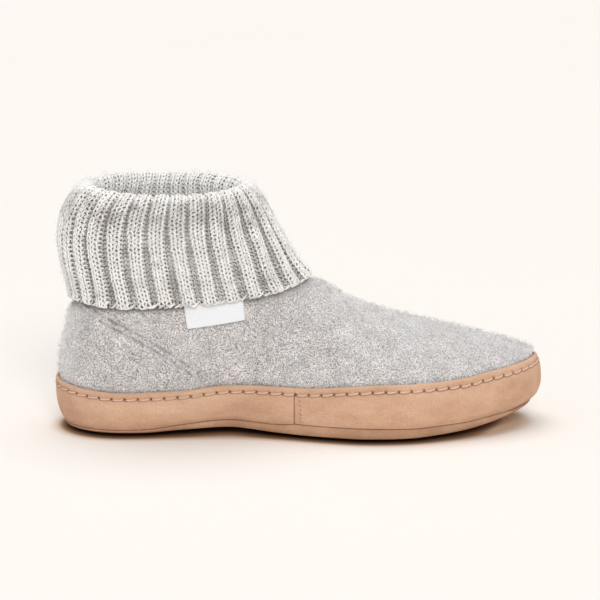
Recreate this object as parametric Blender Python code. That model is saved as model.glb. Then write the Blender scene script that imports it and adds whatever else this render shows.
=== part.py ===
"""Felt slipper boot for the right foot, as separate pieces on one set of last sections.

Sizes are in millimetres and become metres when a mesh is made. X runs from the heel (0) to the
toe, Y from the outer side of the foot (minus) to the inner side (plus), and Z up from the sole's rim.
"""

from collections import namedtuple

import bmesh
import bpy
import numpy as np

METRES = 0.001

# Wall sizes
FELT_WALL = 3.0
KNIT_WALL = 2.8
INSOLE_THICKNESS = 3.0
LABEL_THICKNESS = 0.6
CLEARANCE = 0.3
RAND_GAP = 0.4

# Middle of the whole shoe, which becomes the origin on the floor, below the rim of the sole by its belly
MIDDLE_X = 135.5
MIDDLE_Y = 0.85
SOLE_BELLY = 2.2

# Named levels up the shell: every ring of the upper lies at one of these or between two
SOLE, RAND, HEM, COLLAR, CREST = 0.0, 1.0, 2.0, 3.0, 4.0

# Each line crosses the heel at back_z and the instep at front_x, sags at both sides and leans outwards
Line = namedtuple("Line", "level back_z front_x sag lean")
LINES = (
    Line(RAND, 26.4, 266.5, 0.0, 0.0),
    Line(HEM, 71.2, 141.5, 3.6, 0.0),
    Line(COLLAR, 90.0, 124.5, 0.0, 0.0),
    Line(CREST, 132.8, 104.5, 0.0, 1.0),
)

# Last sections: half widths from the spine, roundness over the top, flare at the ankle, tuck below
Section = namedtuple("Section", "x spine lateral medial fullness flare tuck")
SECTIONS = (
    Section(0, 0.0, 33.4, 32.6, 2.2, 2.0, 1.8),
    Section(35, 0.0, 33.4, 32.4, 2.2, 3.0, 1.8),
    Section(70, 0.6, 33.2, 30.2, 2.2, 4.5, 3.0),
    Section(98, 1.6, 34.0, 28.2, 2.2, 5.0, 4.5),
    Section(125, 3.4, 39.2, 29.4, 2.1, 3.0, 3.0),
    Section(150, 5.4, 47.6, 33.4, 2.0, 0.0, 1.5),
    Section(172, 7.2, 54.0, 37.6, 2.0, 0.0, 1.2),
    Section(200, 8.6, 57.0, 40.0, 2.1, 0.0, 1.5),
    Section(235, 9.6, 57.0, 40.5, 2.6, 0.0, 3.0),
    Section(270, 10.0, 57.0, 40.5, 3.4, 0.0, 3.0),
)

# Sole and rand along the length: lift of the rim, outsole thickness there and the rand's top edge
SoleRow = namedtuple("SoleRow", "x lift edge rand_top")
SOLE_ROWS = (
    SoleRow(0, 0.0, 1.7, 26.4),
    SoleRow(9, 0.0, 1.7, 25.3),
    SoleRow(22, 0.0, 1.7, 23.9),
    SoleRow(40, 0.0, 1.7, 22.7),
    SoleRow(48, 0.0, 1.7, 22.8),
    SoleRow(72, 1.5, 3.0, 24.0),
    SoleRow(97, 2.7, 4.1, 27.0),
    SoleRow(110, 1.7, 4.2, 27.2),
    SoleRow(122, 0.6, 4.6, 26.8),
    SoleRow(136, 0.0, 5.9, 26.6),
    SoleRow(166, 0.0, 5.9, 28.8),
    SoleRow(180, 0.0, 5.7, 29.5),
    SoleRow(196, 0.0, 5.3, 29.5),
    SoleRow(210, 0.6, 5.0, 29.8),
    SoleRow(225, 1.6, 4.4, 30.6),
    SoleRow(240, 3.7, 3.6, 32.6),
    SoleRow(252, 6.0, 2.4, 33.7),
    SoleRow(268, 9.4, 1.7, 35.6),
)

# Side profile of the shell: instep and vamp from the cuff's crest to the toe
RidgeRow = namedtuple("RidgeRow", "x z")
RIDGE = (
    RidgeRow(70, 500),
    RidgeRow(80, 320),
    RidgeRow(90, 205),
    RidgeRow(99, 150),
    RidgeRow(104.5, 133.0),
    RidgeRow(124.5, 94.0),
    RidgeRow(134, 83.4),
    RidgeRow(140, 79.6),
    RidgeRow(146.5, 78.4),
    RidgeRow(152.5, 75.0),
    RidgeRow(164, 67.8),
    RidgeRow(180, 61.8),
    RidgeRow(203, 55.4),
    RidgeRow(225, 50.3),
    RidgeRow(247, 44.9),
    RidgeRow(258.5, 42.2),
    RidgeRow(263.5, 39.8),
    RidgeRow(266.5, 35.6),
)

# Back of the heel and front of the toe, by height
ProfileRow = namedtuple("ProfileRow", "z x")
HEEL = (
    ProfileRow(0, 7.5),
    ProfileRow(4, 5.6),
    ProfileRow(8, 4.0),
    ProfileRow(14, 2.7),
    ProfileRow(22, 2.0),
    ProfileRow(32, 1.4),
    ProfileRow(42, 2.4),
    ProfileRow(52, 4.6),
    ProfileRow(60, 6.4),
    ProfileRow(65, 8.2),
    ProfileRow(70, 11.5),
    ProfileRow(78, 12.4),
    ProfileRow(92, 11.0),
    ProfileRow(104, 10.2),
    ProfileRow(114, 11.4),
    ProfileRow(124, 15.6),
    ProfileRow(134, 23.0),
)
TOE = (
    ProfileRow(8, 260.5),
    ProfileRow(12, 264.6),
    ProfileRow(16, 267.3),
    ProfileRow(21, 268.6),
    ProfileRow(28, 268.4),
    ProfileRow(32, 267.6),
    ProfileRow(35.6, 266.5),
)

# Rounding of the outline at its ends
HEEL_ROUND = 34.0
HEEL_POWER = 2.1
TOE_ROOT = 2.0
ToeSide = namedtuple("ToeSide", "start power")
LATERAL_TOE = ToeSide(163.0, 1.8)
MEDIAL_TOE = ToeSide(185.0, 2.4)

# The widest level lies this far above the outsole; above it the ankle flares, below it the foot tucks in
WIDEST_ABOVE_SOLE = 12.0
FLARE_TOP = 95.0
FLARE_LIMIT = 1.1
TUCK_LIMIT = 1.2

# Small steps for tangents, and the level whose outward direction the sole outline follows
TURN_STEP = 0.01
LEVEL_STEP = 0.01
LOWEST_LEVEL = -0.1
OUTLINE_LEVEL = 0.5

# Rand strip: height share between sole and top edge, and thickness there
RandRow = namedtuple("RandRow", "share thickness")
RAND_ROWS = (
    RandRow(0.0, 1.6),
    RandRow(0.2, 2.1),
    RandRow(0.5, 2.2),
    RandRow(0.76, 1.9),
    RandRow(0.9, 1.6),
    RandRow(1.0, 1.1),
)
RAND_SEAM_X = 133.0
SEAM_MARGIN = 0.03

# Knit strip from the felt collar up the inside, over the fold and down to the hem; its ribs slide to the heel
CuffRow = namedtuple("CuffRow", "level offset slide")
CUFF_ROWS = (
    CuffRow(3.03, -1.5, 0.0),
    CuffRow(3.5, -4.5, 0.0),
    CuffRow(3.84, -4.7, 0.0),
    CuffRow(3.96, -1.8, 0.0),
    CuffRow(3.985, 1.6, 0.0),
    CuffRow(3.9, 4.4, 0.0),
    CuffRow(3.68, 5.9, 0.6),
    CuffRow(3.3, 6.2, 2.6),
    CuffRow(2.9, 5.4, 5.0),
    CuffRow(2.45, 4.3, 7.4),
    CuffRow(2, 3.2, 9.2),
)
RIBS = 29
POINTS_PER_RIB = 4
RIB_RELIEF = (-0.5, -0.5, 0.5, 0.5)
RING_SAMPLES = 360
SLIDE_SPREAD = 2.0

# Upper mesh
UPPER_COLUMNS = 64
UPPER_LEVELS = (0.0, 0.2, 0.5, 0.76, 1.0, 1.1, 1.22, 1.36, 1.5, 1.62, 1.73, 1.83, 1.92, 2.0, 3.0)

# Outsole edge: how far each ring stands inside the rand, its share of the thickness, its drop below the rim
EdgeRow = namedtuple("EdgeRow", "inset share drop")
OUTSOLE_EDGE = (
    EdgeRow(0.4, 1.0, 0.0),
    EdgeRow(0.0, 0.6, 0.0),
    EdgeRow(0.5, 0.2, 0.0),
    EdgeRow(1.5, 0.0, 0.0),
    EdgeRow(9.0, 0.0, 1.0),
    EdgeRow(16.0, 0.0, SOLE_BELLY),
)
SOLE_COLUMNS = 60
SOLE_STRIPS = 2
RAND_REACH = RAND_ROWS[0].thickness + RAND_GAP

# Label tag, on the outer side under the hem: its front end rises and its lower edge lies further forward
LABEL_BACK_X = 72.9
LABEL_FRONT_X = 104.0
LABEL_LOW_LEVEL = 1.745
LABEL_HIGH_LEVEL = 2.04
LABEL_COLUMNS = 8
LABEL_ROWS = 4
LABEL_RISE = 0.075
LABEL_LEAN = 2.0
LABEL_GAP = 0.6

# Finishes, with colours as linear red, green and blue
Finish = namedtuple("Finish", "name colour roughness")
FELT = Finish("wool_felt", (0.58, 0.55, 0.53), 0.95)
KNIT = Finish("rib_knit", (0.62, 0.60, 0.56), 0.95)
SUEDE = Finish("tan_suede", (0.60, 0.36, 0.22), 0.9)
SOLE_SUEDE = Finish("sole_suede", (0.50, 0.29, 0.17), 0.92)
WOVEN_TAG = Finish("woven_tag", (0.87, 0.87, 0.88), 0.7)
INSOLE_FELT = Finish("insole_felt", (0.48, 0.45, 0.43), 0.95)


def smooth(rows, column, at):
    """Value of a table's column along its first column, by a cubic that never overshoots its rows."""
    knots = np.array([row[0] for row in rows], float)
    values = np.array([getattr(row, column) for row in rows], float)
    steps = np.diff(knots)
    grades = np.diff(values) / steps
    before, after = grades[:-1], grades[1:]
    turning = before * after <= 0
    total = np.where(turning, 1.0, before + after)
    inner = np.where(turning, 0.0, 2 * before * after / total)
    slopes = np.concatenate([grades[:1], inner, grades[-1:]])
    at = np.clip(at, knots[0], knots[-1])
    i = np.clip(np.searchsorted(knots, at) - 1, 0, len(steps) - 1)
    t = (at - knots[i]) / steps[i]
    low = values[i] * (1 + 2 * t) + slopes[i] * steps[i] * t
    high = values[i + 1] * (3 - 2 * t) + slopes[i + 1] * steps[i] * (t - 1)
    return low * (1 - t) ** 2 + high * t**2


def mix(a, b, share):
    return a + (b - a) * share


def outsole_bottom(x):
    return smooth(SOLE_ROWS, "lift", x)


def outsole_top(x):
    return outsole_bottom(x) + smooth(SOLE_ROWS, "edge", x)


def sole_line(x):
    """Height of the lower edge of the felt and the rand."""
    return outsole_top(x) + CLEARANCE


def rand_top(x):
    return smooth(SOLE_ROWS, "rand_top", x)


def line_shape(x, level):
    """Rise and fall of a ring seen from the side: sole line, rand edge, then straighter and straighter."""
    low = mix(sole_line(x), rand_top(x), level)
    return np.where(level < RAND, low, rand_top(x) * np.clip(HEM - level, 0, 1) ** 2)


def toe_share(x, z, toe):
    """How much of the half width is left as the outline closes round the toe."""
    tip = smooth(TOE, "x", z)
    run = np.clip((x - toe.start) / (tip - toe.start), 0, 1)
    return (1 - run**toe.power) ** (1 / TOE_ROOT)


def heel_share(x, z):
    run = np.clip((x - smooth(HEEL, "x", z)) / HEEL_ROUND, 0, 1)
    return (1 - (1 - run) ** HEEL_POWER) ** (1 / HEEL_POWER)


def half_width(x, z, lateral):
    """Distance of the felt's outer face from the spine, on the lateral or the medial side."""
    low = sole_line(x)
    widest = low + WIDEST_ABOVE_SOLE
    side = np.where(lateral, smooth(SECTIONS, "lateral", x), smooth(SECTIONS, "medial", x))
    ends = np.where(lateral, toe_share(x, z, LATERAL_TOE), toe_share(x, z, MEDIAL_TOE))
    rise = np.clip((z - widest) / (smooth(RIDGE, "z", x) - widest), 0, 1)
    crown = np.sqrt(1 - rise ** smooth(SECTIONS, "fullness", x))
    flare = np.clip((z - widest) / (FLARE_TOP - widest), 0, FLARE_LIMIT) ** 2
    drop = np.clip((widest - z) / WIDEST_ABOVE_SOLE, 0, TUCK_LIMIT) ** 2
    wide = side + smooth(SECTIONS, "flare", x) * flare - smooth(SECTIONS, "tuck", x) * drop
    return wide * ends * heel_share(x, z) * crown


def line_ends(level):
    """Where the ring at this level crosses the heel and the toe or instep: back x, z, front x, z."""
    below = np.clip(level, LOWEST_LEVEL, RAND)
    back_z = np.where(level < RAND, mix(sole_line(0.0), LINES[0].back_z, below), line_value("back_z", level))
    toe_z = mix(sole_line(TOE[1].x), TOE[-1].z, below)
    front_x = np.where(level < RAND, smooth(TOE, "x", toe_z), line_value("front_x", level))
    front_z = np.where(level < RAND, toe_z, smooth(RIDGE, "z", front_x))
    return smooth(HEEL, "x", back_z), back_z, front_x, front_z


def line_value(column, level):
    """Value of a named line's column, shared out evenly between the lines."""
    levels = [line.level for line in LINES]
    return np.interp(level, levels, [getattr(line, column) for line in LINES])


def upper_point(turn, level):
    """Point of the felt's outer face: turn 0 is the toe or instep, half a turn the heel."""
    turn, level = np.broadcast_arrays(np.asarray(turn, float), np.asarray(level, float))
    back_x, back_z, front_x, front_z = line_ends(level)
    along = 0.5 + 0.5 * np.cos(turn)
    x = mix(back_x, front_x, along)
    ends = mix(back_z - line_shape(back_x, level), front_z - line_shape(front_x, level), along)
    sag = line_value("sag", level) * np.sin(turn) ** 2
    lean = line_value("lean", level) * np.sin(turn) * np.abs(np.sin(turn))
    z = line_shape(x, level) + ends - sag - lean
    lateral = np.sin(turn) >= 0
    width = half_width(x, z, lateral)
    y = smooth(SECTIONS, "spine", x) + np.where(lateral, -width, width)
    return np.stack([x, y, z], axis=-1)


def upper_normal(turn, level):
    """Outward unit normal of the felt's outer face, from its two tangents."""
    around = upper_point(turn + TURN_STEP, level) - upper_point(turn - TURN_STEP, level)
    upward = upper_point(turn, level + LEVEL_STEP) - upper_point(turn, level - LEVEL_STEP)
    normal = np.cross(upward, around)
    return normal / np.linalg.norm(normal, axis=-1, keepdims=True)


def offset_point(turn, level, distance):
    """Point of a form larger (or, if negative, smaller) than the upper by this distance."""
    distance = np.asarray(distance, float)
    return upper_point(turn, level) + upper_normal(turn, level) * distance[..., None]


def outline_point(turn, distance):
    """Point of the sole line moved outwards in plan."""
    normal = upper_normal(turn, OUTLINE_LEVEL) * (1.0, 1.0, 0.0)
    normal /= np.linalg.norm(normal, axis=-1, keepdims=True)
    return upper_point(turn, SOLE) + normal * distance


def turns(columns):
    return np.arange(columns) * 2 * np.pi / columns


def even_ring(ring, columns, slide):
    """The closed ring with its points spaced evenly along it, then slid to the heel on both sides."""
    loop = np.vstack([ring, ring[:1]])
    reach = np.concatenate([[0], np.cumsum(np.linalg.norm(np.diff(loop, axis=0), axis=1))])
    wanted = np.arange(columns) * reach[-1] / columns
    wanted += slide * np.tanh(SLIDE_SPREAD * np.sin(turns(columns)))
    return np.stack([np.interp(wanted, reach, loop[:, axis]) for axis in range(3)], axis=1)


def grid_normals(grid):
    """Unit normals of a grid of rows that close on themselves, taken from its neighbours."""
    around = np.roll(grid, -1, axis=1) - np.roll(grid, 1, axis=1)
    along = np.gradient(grid, axis=0)
    normal = np.cross(along, around)
    return normal / np.linalg.norm(normal, axis=-1, keepdims=True)


def grid_faces(first, rows, columns, closed):
    """Quads of a grid of points whose numbers start at first."""
    faces = []
    for row in range(rows - 1):
        for column in range(columns if closed else columns - 1):
            after = (column + 1) % columns
            low, high = first + row * columns, first + (row + 1) * columns
            faces.append((low + column, low + after, high + after, high + column))
    return faces


def shell_solid(outer, inner, closed):
    """Points and faces of the wall between two grids of the same shape."""
    rows, columns = outer.shape[:2]
    count = rows * columns
    points = np.concatenate([outer.reshape(-1, 3), inner.reshape(-1, 3)])
    faces = grid_faces(0, rows, columns, closed) + grid_faces(count, rows, columns, closed)
    for row in (0, rows - 1):
        for column in range(columns if closed else columns - 1):
            here, after = row * columns + column, row * columns + (column + 1) % columns
            faces.append((here, after, count + after, count + here))
    if not closed:
        for column in (0, columns - 1):
            for row in range(rows - 1):
                here, above = row * columns + column, (row + 1) * columns + column
                faces.append((here, above, count + above, count + here))
    return points, faces


def cap_faces(points, first, columns, height):
    """Strips across the outline whose ring starts at first; adds the points between its two sides."""
    half = columns // 2
    lines = []
    for i in range(1, half):
        left, right = first + i, first + columns - i
        line = [left]
        for k in range(1, SOLE_STRIPS):
            point = mix(points[left], points[right], k / SOLE_STRIPS)
            point[2] = height(point[0])
            line.append(len(points))
            points.append(point)
        lines.append(line + [right])
    faces = [
        (a[k], a[k + 1], b[k + 1], b[k])
        for a, b in zip(lines, lines[1:])
        for k in range(SOLE_STRIPS)
    ]
    for tip, line in ((first, lines[0]), (first + half, lines[-1])):
        faces += [(tip, line[k], line[k + 1]) for k in range(SOLE_STRIPS)]
    return faces


def slab_solid(rings, top, bottom):
    """Slab closed round its edge by rings, top ring first, with surfaces at the given heights."""
    columns = len(rings[0])
    points = [point for ring in rings for point in ring]
    faces = grid_faces(0, len(rings), columns, closed=True)
    faces += cap_faces(points, 0, columns, top)
    faces += cap_faces(points, (len(rings) - 1) * columns, columns, bottom)
    return np.array(points), faces


def material(finish):
    made = bpy.data.materials.new(finish.name)
    made.use_nodes = True
    shader = made.node_tree.nodes["Principled BSDF"]
    shader.inputs["Base Color"].default_value = (*finish.colour, 1.0)
    shader.inputs["Roughness"].default_value = finish.roughness
    shader.inputs["Metallic"].default_value = 0.0
    return made


def add_piece(name, solid, surface, parent):
    """Closed mesh object of a solid, each quad split along its shorter diagonal."""
    points, faces = solid
    mesh = bpy.data.meshes.new(name)
    mesh.from_pydata((np.asarray(points) * METRES).tolist(), [], faces)
    shape = bmesh.new()
    shape.from_mesh(mesh)
    bmesh.ops.triangulate(shape, faces=shape.faces, quad_method="SHORT_EDGE")
    bmesh.ops.recalc_face_normals(shape, faces=shape.faces)
    shape.to_mesh(mesh)
    shape.free()
    mesh.shade_smooth()
    mesh.materials.append(surface)
    piece = bpy.data.objects.new(name, mesh)
    bpy.context.collection.objects.link(piece)
    piece.parent = parent
    return piece


def upper_solid():
    turn, level = np.meshgrid(turns(UPPER_COLUMNS), UPPER_LEVELS)
    outer = upper_point(turn, level)
    inner = offset_point(turn, level, np.full(turn.shape, -FELT_WALL))
    return shell_solid(outer, inner, closed=True)


def turn_at(x, level):
    """Turn on the lateral side where the ring at this level passes x."""
    back_x, _, front_x, _ = line_ends(np.asarray(level, float))
    return np.arccos(np.clip(2 * (x - back_x) / (front_x - back_x) - 1, -1, 1))


def rand_solid(front):
    """Strip over the lower felt, round the toe or round the heel, from seam to seam."""
    gap = CLEARANCE / 2
    around = turns(UPPER_COLUMNS) - (np.pi if front else 0)
    rows = []
    for row in RAND_ROWS:
        seam = turn_at(RAND_SEAM_X + (gap if front else -gap), row.share)
        start, stop = (-seam, seam) if front else (seam, 2 * np.pi - seam)
        rows.append((start, stop))
    first, last = max(row[0] for row in rows), min(row[1] for row in rows)
    between = around[(around > first + SEAM_MARGIN) & (around < last - SEAM_MARGIN)]
    turn = np.array([[start, *between, stop] for start, stop in rows])
    level = np.array([[row.share] * len(turn[0]) for row in RAND_ROWS])
    thickness = np.array([[row.thickness] * len(turn[0]) for row in RAND_ROWS])
    inner = offset_point(turn, level, np.full(turn.shape, RAND_GAP))
    outer = offset_point(turn, level, RAND_GAP + thickness)
    for face, reach in ((inner, RAND_GAP), (outer, RAND_REACH)):
        face[0] = outline_point(turn[0], reach)
        face[0, :, 2] = sole_line(face[0, :, 0])
    return shell_solid(outer, inner, closed=False)


def outsole_solid():
    turn = turns(SOLE_COLUMNS)
    rings = []
    for edge in OUTSOLE_EDGE:
        ring = outline_point(turn, RAND_REACH - edge.inset)
        ring[:, 2] = mix(outsole_bottom(ring[:, 0]), outsole_top(ring[:, 0]), edge.share) - edge.drop
        rings.append(ring)
    return slab_solid(rings, outsole_top, lambda x: outsole_bottom(x) - SOLE_BELLY)


def insole_solid():
    turn = turns(SOLE_COLUMNS)
    rings = []
    for lift in (INSOLE_THICKNESS, 0.0):
        ring = outline_point(turn, -FELT_WALL - 2 * CLEARANCE)
        ring[:, 2] = sole_line(ring[:, 0]) + lift
        rings.append(ring)
    return slab_solid(rings, lambda x: sole_line(x) + INSOLE_THICKNESS, sole_line)


def cuff_solid():
    """Ribbed strip with the section of an upside-down U, hanging over the felt collar."""
    turn = turns(RING_SAMPLES)
    columns = RIBS * POINTS_PER_RIB
    middle = np.array([
        even_ring(offset_point(turn, row.level, np.full(turn.shape, row.offset)), columns, row.slide)
        for row in CUFF_ROWS
    ])
    relief = np.tile(RIB_RELIEF, RIBS)[None, :, None]
    normal = grid_normals(middle)
    return shell_solid(
        middle + normal * (relief + KNIT_WALL / 2),
        middle + normal * (relief - KNIT_WALL / 2),
        closed=True,
    )


def label_solid():
    share, up = np.meshgrid(np.linspace(0, 1, LABEL_COLUMNS), np.linspace(0, 1, LABEL_ROWS))
    level = mix(LABEL_LOW_LEVEL, LABEL_HIGH_LEVEL, up) + LABEL_RISE * share
    turn = turn_at(mix(LABEL_BACK_X, LABEL_FRONT_X, share) + LABEL_LEAN * (1 - up), level)
    inner = offset_point(turn, level, np.full(turn.shape, LABEL_GAP))
    outer = offset_point(turn, level, np.full(turn.shape, LABEL_GAP + LABEL_THICKNESS))
    return shell_solid(outer, inner, closed=False)


def build():
    for old in list(bpy.data.objects):
        bpy.data.objects.remove(old, do_unlink=True)
    shoe = bpy.data.objects.new("slipper_boot", None)
    bpy.context.collection.objects.link(shoe)
    shoe.location = (-MIDDLE_X * METRES, -MIDDLE_Y * METRES, SOLE_BELLY * METRES)
    suede = material(SUEDE)
    add_piece("outsole", outsole_solid(), material(SOLE_SUEDE), shoe)
    add_piece("rand_back", rand_solid(front=False), suede, shoe)
    add_piece("rand_front", rand_solid(front=True), suede, shoe)
    add_piece("upper", upper_solid(), material(FELT), shoe)
    add_piece("cuff", cuff_solid(), material(KNIT), shoe)
    add_piece("label_tag", label_solid(), material(WOVEN_TAG), shoe)
    add_piece("insole", insole_solid(), material(INSOLE_FELT), shoe)


build()
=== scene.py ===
"""Looks of the felt slipper boot: felt, rib knit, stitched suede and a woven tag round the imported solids.

Sizes are in millimetres on the same last sections as the solids and become metres when a mesh is
made. X runs from the heel (0) to the toe, Y from the outer side of the foot (minus) to the inner
side (plus), and Z up from the sole's rim.
"""

from collections import namedtuple

import bmesh
import bpy
import numpy as np
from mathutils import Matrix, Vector


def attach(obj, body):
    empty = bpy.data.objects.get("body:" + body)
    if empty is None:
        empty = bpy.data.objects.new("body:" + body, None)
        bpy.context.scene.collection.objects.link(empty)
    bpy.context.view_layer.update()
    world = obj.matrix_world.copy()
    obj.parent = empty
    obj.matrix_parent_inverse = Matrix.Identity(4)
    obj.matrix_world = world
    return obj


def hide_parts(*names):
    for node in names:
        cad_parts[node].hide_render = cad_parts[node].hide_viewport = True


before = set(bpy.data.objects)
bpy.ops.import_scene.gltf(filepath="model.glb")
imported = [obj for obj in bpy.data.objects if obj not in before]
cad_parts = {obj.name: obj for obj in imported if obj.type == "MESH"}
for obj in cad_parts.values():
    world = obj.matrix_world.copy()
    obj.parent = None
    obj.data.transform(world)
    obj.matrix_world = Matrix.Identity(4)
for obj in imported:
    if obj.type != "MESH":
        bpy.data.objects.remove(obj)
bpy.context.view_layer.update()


def table(columns, *rows):
    """Rows of values that are named by their columns."""
    named_row = namedtuple("named_row", columns)
    return [named_row(*row) for row in rows]


METRES = 0.001

# Wall sizes
FELT_WALL = 3.0
INSOLE_THICKNESS = 3.0
LABEL_THICKNESS = 0.6
CLEARANCE = 0.3
RAND_GAP = 0.4

# Middle of the whole shoe, which is the origin on the floor, below the rim of the sole by its belly
SOLE_BELLY = 2.2
MIDDLE = np.array([135.5, 0.85, -SOLE_BELLY])

# Named levels up the shell: every ring of the upper lies at one of these or between two
SOLE, RAND, HEM, COLLAR, CREST = 0.0, 1.0, 2.0, 3.0, 4.0

# Each line crosses the heel at back_z and the instep at front_x, sags at both sides and leans outwards
LINES = table(
    "level back_z front_x sag lean",
    (RAND, 26.4, 266.5, 0.0, 0.0),
    (HEM, 71.2, 141.5, 3.6, 0.0),
    (COLLAR, 90.0, 124.5, 0.0, 0.0),
    (CREST, 132.8, 104.5, 0.0, 1.0),
)

# Last sections: half widths from the spine, roundness over the top, flare at the ankle, tuck below
SECTIONS = table(
    "x spine lateral medial fullness flare tuck",
    (0, 0.0, 33.4, 32.6, 2.2, 2.0, 1.8),
    (35, 0.0, 33.4, 32.4, 2.2, 3.0, 1.8),
    (70, 0.6, 33.2, 30.2, 2.2, 4.5, 3.0),
    (98, 1.6, 34.0, 28.2, 2.2, 5.0, 4.5),
    (125, 3.4, 39.2, 29.4, 2.1, 3.0, 3.0),
    (150, 5.4, 47.6, 33.4, 2.0, 0.0, 1.5),
    (172, 7.2, 54.0, 37.6, 2.0, 0.0, 1.2),
    (200, 8.6, 57.0, 40.0, 2.1, 0.0, 1.5),
    (235, 9.6, 57.0, 40.5, 2.6, 0.0, 3.0),
    (270, 10.0, 57.0, 40.5, 3.4, 0.0, 3.0),
)

# Sole and rand along the length: lift of the rim, outsole thickness there and the rand's top edge
SOLE_ROWS = table(
    "x lift edge rand_top",
    (0, 0.0, 1.7, 26.4),
    (9, 0.0, 1.7, 25.3),
    (22, 0.0, 1.7, 23.9),
    (40, 0.0, 1.7, 22.7),
    (48, 0.0, 1.7, 22.8),
    (72, 1.5, 3.0, 24.0),
    (97, 2.7, 4.1, 27.0),
    (110, 1.7, 4.2, 27.2),
    (122, 0.6, 4.6, 26.8),
    (136, 0.0, 5.9, 26.6),
    (166, 0.0, 5.9, 28.8),
    (180, 0.0, 5.7, 29.5),
    (196, 0.0, 5.3, 29.5),
    (210, 0.6, 5.0, 29.8),
    (225, 1.6, 4.4, 30.6),
    (240, 3.7, 3.6, 32.6),
    (252, 6.0, 2.4, 33.7),
    (268, 9.4, 1.7, 35.6),
)

# Side profile of the shell: instep and vamp from the cuff's crest to the toe
RIDGE = table(
    "x z",
    (70, 500), (80, 320), (90, 205), (99, 150), (104.5, 133.0), (124.5, 94.0), (134, 83.4),
    (140, 79.6), (146.5, 78.4), (152.5, 75.0), (164, 67.8), (180, 61.8), (203, 55.4), (225, 50.3),
    (247, 44.9), (258.5, 42.2), (263.5, 39.8), (266.5, 35.6),
)

# Back of the heel and front of the toe, by height
HEEL = table(
    "z x",
    (0, 7.5), (4, 5.6), (8, 4.0), (14, 2.7), (22, 2.0), (32, 1.4), (42, 2.4), (52, 4.6), (60, 6.4),
    (65, 8.2), (70, 11.5), (78, 12.4), (92, 11.0), (104, 10.2), (114, 11.4), (124, 15.6), (134, 23.0),
)
TOE = table(
    "z x",
    (8, 260.5), (12, 264.6), (16, 267.3), (21, 268.6), (28, 268.4), (32, 267.6), (35.6, 266.5),
)

# Rounding of the outline at its ends
HEEL_ROUND = 34.0
HEEL_POWER = 2.1
TOE_ROOT = 2.0
ToeSide = namedtuple("ToeSide", "start power")
LATERAL_TOE = ToeSide(163.0, 1.8)
MEDIAL_TOE = ToeSide(185.0, 2.4)

# Height of the widest level over the outsole, top of the ankle's flare, limits of flare and tuck
WIDEST_ABOVE_SOLE = 12.0
FLARE_TOP = 95.0
FLARE_LIMIT = 1.1
TUCK_LIMIT = 1.2

# Small steps for tangents, and the level whose outward direction the sole outline follows
TURN_STEP = 0.01
LEVEL_STEP = 0.01
LOWEST_LEVEL = -0.1
OUTLINE_LEVEL = 0.5

# Points closer than this are welded, in metres
WELD_DISTANCE = 1e-6

# Felt: soft unevenness of its two faces, and the seam of the heel piece with painted shade in its grooves
FELT_LUMPS = table("size height seed", (30.0, 0.45, 0), (11.0, 0.22, 1), (4.5, 0.12, 2))
FELT_INSIDE_LUMPS = table("size height seed", (7.0, 0.2, 9))
HEEL_SEAM = table("x z", (8, 73.4), (21, 67.4), (37, 59.3), (54, 50.0), (73, 37.2), (84, 29.5))
SEAM_WIDTH = 1.7
SEAM_HEIGHT = 0.5
SEAM_GROOVE = 0.42
SEAM_LIP = 1.6
SEAM_LINE = 0.75
SEAM_SHADE = 0.85
SEAM_FADE = 8.0

# Crease along the rand with painted shade in it, patches that break up the painted shade of crease and
# seam, painted shadow under the hem (none at the instep), bulge at the toe
RAND_CREASE = 1.08
CREASE_WIDTH = 1.3
CREASE_DEPTH = 0.3
CREASE_SHADE = 0.5
SHADE_PATCH_SHARE = 0.5
SHADE_PATCH_SPREAD = 0.7
SHADE_PATCH_SIZE = 2.5
HEM_START = 0.6
HEM_SHADE = 0.95
HEM_FADE = 1.6
HEM_FRONT_X = 135.0
HEM_SPAN = 50.0
TOE_PUFF = 2.0
PUFF_TURN = 0.5
PUFF_ABOVE = 1.5
PUFF_HEIGHT = 3.0
PUFF_START = 0.008

# Felt mesh: rows up the outer face and down the inside, and the levels over which it comes free of the rand
FELT_COLUMNS = 700
FELT_ROWS = table(
    "low high count",
    (0.6, RAND, 4),
    (RAND, RAND_CREASE, 12),
    (RAND_CREASE, HEM, 67),
    (HEM, COLLAR, 9),
)
FELT_INSIDE_LOW = 0.02
FELT_INSIDE_ROWS = 14
FELT_FREE = 0.06

# Flecks of the felt are calmer towards the toe
CALM_ROWS = table("x calm", (120, 0.0), (180, 0.08), (250, 0.14))

# Soft troughs (minus) and ridges (plus) of the felt, each an ellipse on the side it lies on
FELT_FOLDS = table(
    "x z length width tilt height lateral",
    (151, 62, 22, 5.0, -62, -0.8, True),
    (163, 52, 24, 6.5, -55, 0.5, True),
    (124, 55, 26, 6.0, 14, -0.7, True),
    (104, 45, 30, 7.0, 10, 0.5, True),
    (44, 60, 24, 5.0, -18, -0.5, True),
    (152, 62, 22, 5.0, -60, -0.8, False),
    (120, 52, 28, 6.5, 12, -0.7, False),
    (48, 58, 24, 5.0, -16, -0.5, False),
)

# Wool fibres that stand off the felt and the knit: how rise, bend, tip and width vary, and the taper
FIBRE_ROOT = 0.15
FIBRE_SIDES = 3
FIBRE_RISE = (0.2, 1.0)
FIBRE_BEND = 0.7
FIBRE_LIFT = (-0.9, 0.5)
FIBRE_WIDTH = (0.6, 1.3)
FIBRE_TAPER = (1.0, 0.8, 0.25)
Fibres = namedtuple("Fibres", "count shortest longest rise radius seed")
FELT_FIBRES = Fibres(8000, 1.4, 4.2, 1.8, 0.055, 11)
KNIT_FIBRES = Fibres(3200, 1.6, 4.5, 1.1, 0.045, 12)

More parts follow.
